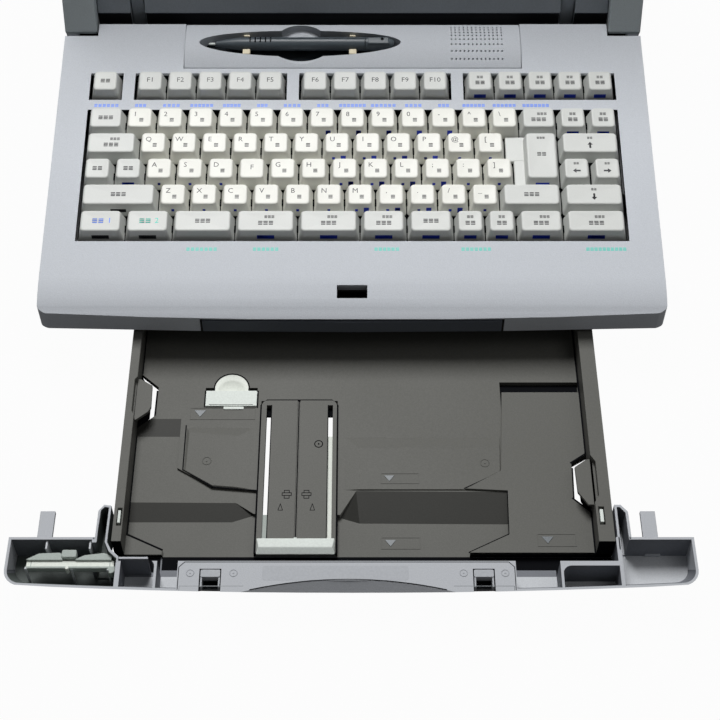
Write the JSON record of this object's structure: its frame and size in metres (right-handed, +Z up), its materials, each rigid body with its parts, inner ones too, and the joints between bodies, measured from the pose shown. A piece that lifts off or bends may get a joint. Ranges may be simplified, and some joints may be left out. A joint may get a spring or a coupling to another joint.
{
  "type": "electronic word processor",
  "caption": "Portable electronic word processor with a hinged display lid, keyboard, stylus strip, built-in printer and a paper cassette pulled out of the front.",
  "frame": {"origin": "middle of the bounding box, on the table, with the lid leaning back and the cassette pulled out", "axes": "+X to the right of a person at the keyboard, +Y to the back of the machine, +Z up"},
  "size_m": [0.3772, 0.5654, 0.3005],
  "materials": {
    "case_grey": "fine texture",
    "fascia_grey": "fine texture",
    "dark_plastic": "satin",
    "tray_plastic": "satin",
    "panel_grey": "fine texture",
    "cheek_grey": "fine texture",
    "white_key": "satin",
    "grey_key": "satin",
    "pale_plastic": "satin",
    "steel": "plain",
    "rubber": "matt",
    "board_green": "solder mask",
    "screen": "anti-glare"
  },
  "bodies": {
    "base": {"lower_case": "case_grey", "upper_case": "case_grey", "rear_cover": "case_grey", "chassis_plate": "steel", "hinge_bracket_left": "steel", "hinge_bracket_right": "steel", "foot_front_left": "rubber", "foot_front_right": "rubber", "foot_back_left": "rubber", "foot_back_right": "rubber", "keyboard_plate": "steel", "dome_sheet": "rubber", "key_guide_frame": "dark_plastic", "pen_strip": "case_grey", "speaker": "dark_plastic", "pen_clip_left": "pale_plastic", "pen_clip_right": "pale_plastic", "main_board": "board_green", "floppy_drive": "dark_plastic", "power_supply": "steel", "power_inlet": "dark_plastic", "printer_frame": "steel", "feed_motor": "steel", "carriage_rail": "steel"},
    "lid": {"lid_shell": "cheek_grey", "lid_bezel": "dark_plastic", "lcd_panel": "screen"},
    "latch": {"lid_latch": "dark_plastic"},
    "cassette": {"cassette_front": "panel_grey", "cassette_tray": "tray_plastic", "rail_plate": "tray_plastic", "cassette_snap_left": "pale_plastic", "cassette_snap_right": "pale_plastic"},
    "paper_stop": {"paper_stop": "pale_plastic"},
    "postcard_stop": {"postcard_stop": "pale_plastic"},
    "stored_guide": {"stored_guide": "cheek_grey"},
    "handle": {"carry_handle": "fascia_grey"},
    "pen": {"pen": "dark_plastic"},
    "eject_button": {"eject_button": "dark_plastic"},
    "contrast_dial": {"contrast_dial": "dark_plastic"},
    "power_switch": {"power_switch": "dark_plastic"},
    "platen": {"platen_roller": "rubber", "platen_knob": "dark_plastic", "platen_gear": "pale_plastic"},
    "pickup_roller": {"pickup_roller": "rubber"},
    "carriage": {"carriage": "dark_plastic", "ribbon_cartridge": "dark_plastic"},
    "printer_cover": {"printer_cover": "case_grey"},
    "function_keys": {"function_keys": "grey_key"},
    "number_keys": {"number_keys": "white_key"},
    "letter_keys": {"letter_keys": "white_key"},
    "home_keys": {"home_keys": "white_key"},
    "lower_keys": {"lower_keys": "white_key"},
    "bottom_keys": {"bottom_keys": "grey_key"},
    "esc_key": {"esc_key": "grey_key"},
    "tab_key": {"tab_key": "grey_key"},
    "left_shift_key": {"left_shift_key": "grey_key"},
    "right_shift_key": {"right_shift_key": "grey_key"},
    "enter_key": {"enter_key": "grey_key"},
    "arrow_keys": {"arrow_keys": "grey_key"}
  },
  "joints": [
    {"name": "lid_hinge", "type": "hinge", "parent": "base", "child": "lid", "pos_m": [0, 0.1157, 0.093], "axis": [-1, 0, 0], "range_deg": [-121, 15]},
    {"name": "latch_slide", "type": "slide", "parent": "lid", "child": "latch", "axis": [0, -0.3746, -0.9272], "range_m": [0, 0.002], "stiffness_N_per_m": 200},
    {"name": "cassette_slide", "type": "slide", "parent": "base", "child": "cassette", "axis": [0, -1, 0], "range_m": [-0.17, 0]},
    {"name": "paper_stop_slide", "type": "slide", "parent": "cassette", "child": "paper_stop", "axis": [0, 1, 0], "range_m": [0, 0.08]},
    {"name": "postcard_stop_hinge", "type": "hinge", "parent": "cassette", "child": "postcard_stop", "pos_m": [-0.0718, -0.1502, 0.0096], "axis": [1, 0, 0], "range_deg": [0, 90]},
    {"name": "stored_guide_lift", "type": "slide", "parent": "cassette", "child": "stored_guide", "axis": [0, 0, 1], "range_m": [0, 0.04]},
    {"name": "handle_slide", "type": "slide", "parent": "base", "child": "handle", "axis": [0, -1, 0], "range_m": [0, 0.028]},
    {"name": "pen_lift", "type": "slide", "parent": "base", "child": "pen", "axis": [0, -0.1564, 0.9877], "range_m": [0, 0.03]},
    {"name": "eject_press", "type": "slide", "parent": "base", "child": "eject_button", "axis": [-1, 0, 0], "range_m": [0, 0.0035], "stiffness_N_per_m": 300},
    {"name": "contrast_turn", "type": "hinge", "parent": "base", "child": "contrast_dial", "pos_m": [-0.1786, 0.0563, 0.05], "axis": [0, 0, 1], "range_deg": [-135, 135]},
    {"name": "power_press", "type": "slide", "parent": "base", "child": "power_switch", "axis": [0, -1, 0], "range_m": [0, 0.001], "stiffness_N_per_m": 400},
    {"name": "platen_turn", "type": "hinge", "parent": "base", "child": "platen", "pos_m": [0, 0.2113, 0.084], "axis": [1, 0, 0], "continuous": true},
    {"name": "pickup_turn", "type": "hinge", "parent": "base", "child": "pickup_roller", "pos_m": [0, 0.2413, 0.0325], "axis": [1, 0, 0], "continuous": true},
    {"name": "carriage_slide", "type": "slide", "parent": "base", "child": "carriage", "axis": [1, 0, 0], "range_m": [-0.105, 0.105]},
    {"name": "printer_cover_hinge", "type": "hinge", "parent": "base", "child": "printer_cover", "pos_m": [0, 0.268, 0.1099], "axis": [-1, 0, 0], "range_deg": [0, 75]},
    {"name": "function_keys_press", "type": "slide", "parent": "base", "child": "function_keys", "axis": [0, 0.1564, -0.9877], "range_m": [0, 0.003], "stiffness_N_per_m": 250, "springref_m": -0.001},
    {"name": "number_keys_press", "type": "slide", "parent": "base", "child": "number_keys", "axis": [0, 0.1564, -0.9877], "range_m": [0, 0.003], "stiffness_N_per_m": 250, "springref_m": -0.001},
    {"name": "letter_keys_press", "type": "slide", "parent": "base", "child": "letter_keys", "axis": [0, 0.1564, -0.9877], "range_m": [0, 0.003], "stiffness_N_per_m": 250, "springref_m": -0.001},
    {"name": "home_keys_press", "type": "slide", "parent": "base", "child": "home_keys", "axis": [0, 0.1564, -0.9877], "range_m": [0, 0.003], "stiffness_N_per_m": 250, "springref_m": -0.001},
    {"name": "lower_keys_press", "type": "slide", "parent": "base", "child": "lower_keys", "axis": [0, 0.1564, -0.9877], "range_m": [0, 0.003], "stiffness_N_per_m": 250, "springref_m": -0.001},
    {"name": "bottom_keys_press", "type": "slide", "parent": "base", "child": "bottom_keys", "axis": [0, 0.1564, -0.9877], "range_m": [0, 0.003], "stiffness_N_per_m": 250, "springref_m": -0.001},
    {"name": "esc_key_press", "type": "slide", "parent": "base", "child": "esc_key", "axis": [0, 0.1564, -0.9877], "range_m": [0, 0.003], "stiffness_N_per_m": 250, "springref_m": -0.001},
    {"name": "tab_key_press", "type": "slide", "parent": "base", "child": "tab_key", "axis": [0, 0.1564, -0.9877], "range_m": [0, 0.003], "stiffness_N_per_m": 250, "springref_m": -0.001},
    {"name": "left_shift_key_press", "type": "slide", "parent": "base", "child": "left_shift_key", "axis": [0, 0.1564, -0.9877], "range_m": [0, 0.003], "stiffness_N_per_m": 250, "springref_m": -0.001},
    {"name": "right_shift_key_press", "type": "slide", "parent": "base", "child": "right_shift_key", "axis": [0, 0.1564, -0.9877], "range_m": [0, 0.003], "stiffness_N_per_m": 250, "springref_m": -0.001},
    {"name": "enter_key_press", "type": "slide", "parent": "base", "child": "enter_key", "axis": [0, 0.1564, -0.9877], "range_m": [0, 0.003], "stiffness_N_per_m": 250, "springref_m": -0.001},
    {"name": "arrow_keys_press", "type": "slide", "parent": "base", "child": "arrow_keys", "axis": [0, 0.1564, -0.9877], "range_m": [0, 0.003], "stiffness_N_per_m": 250, "springref_m": -0.001}
  ]
}
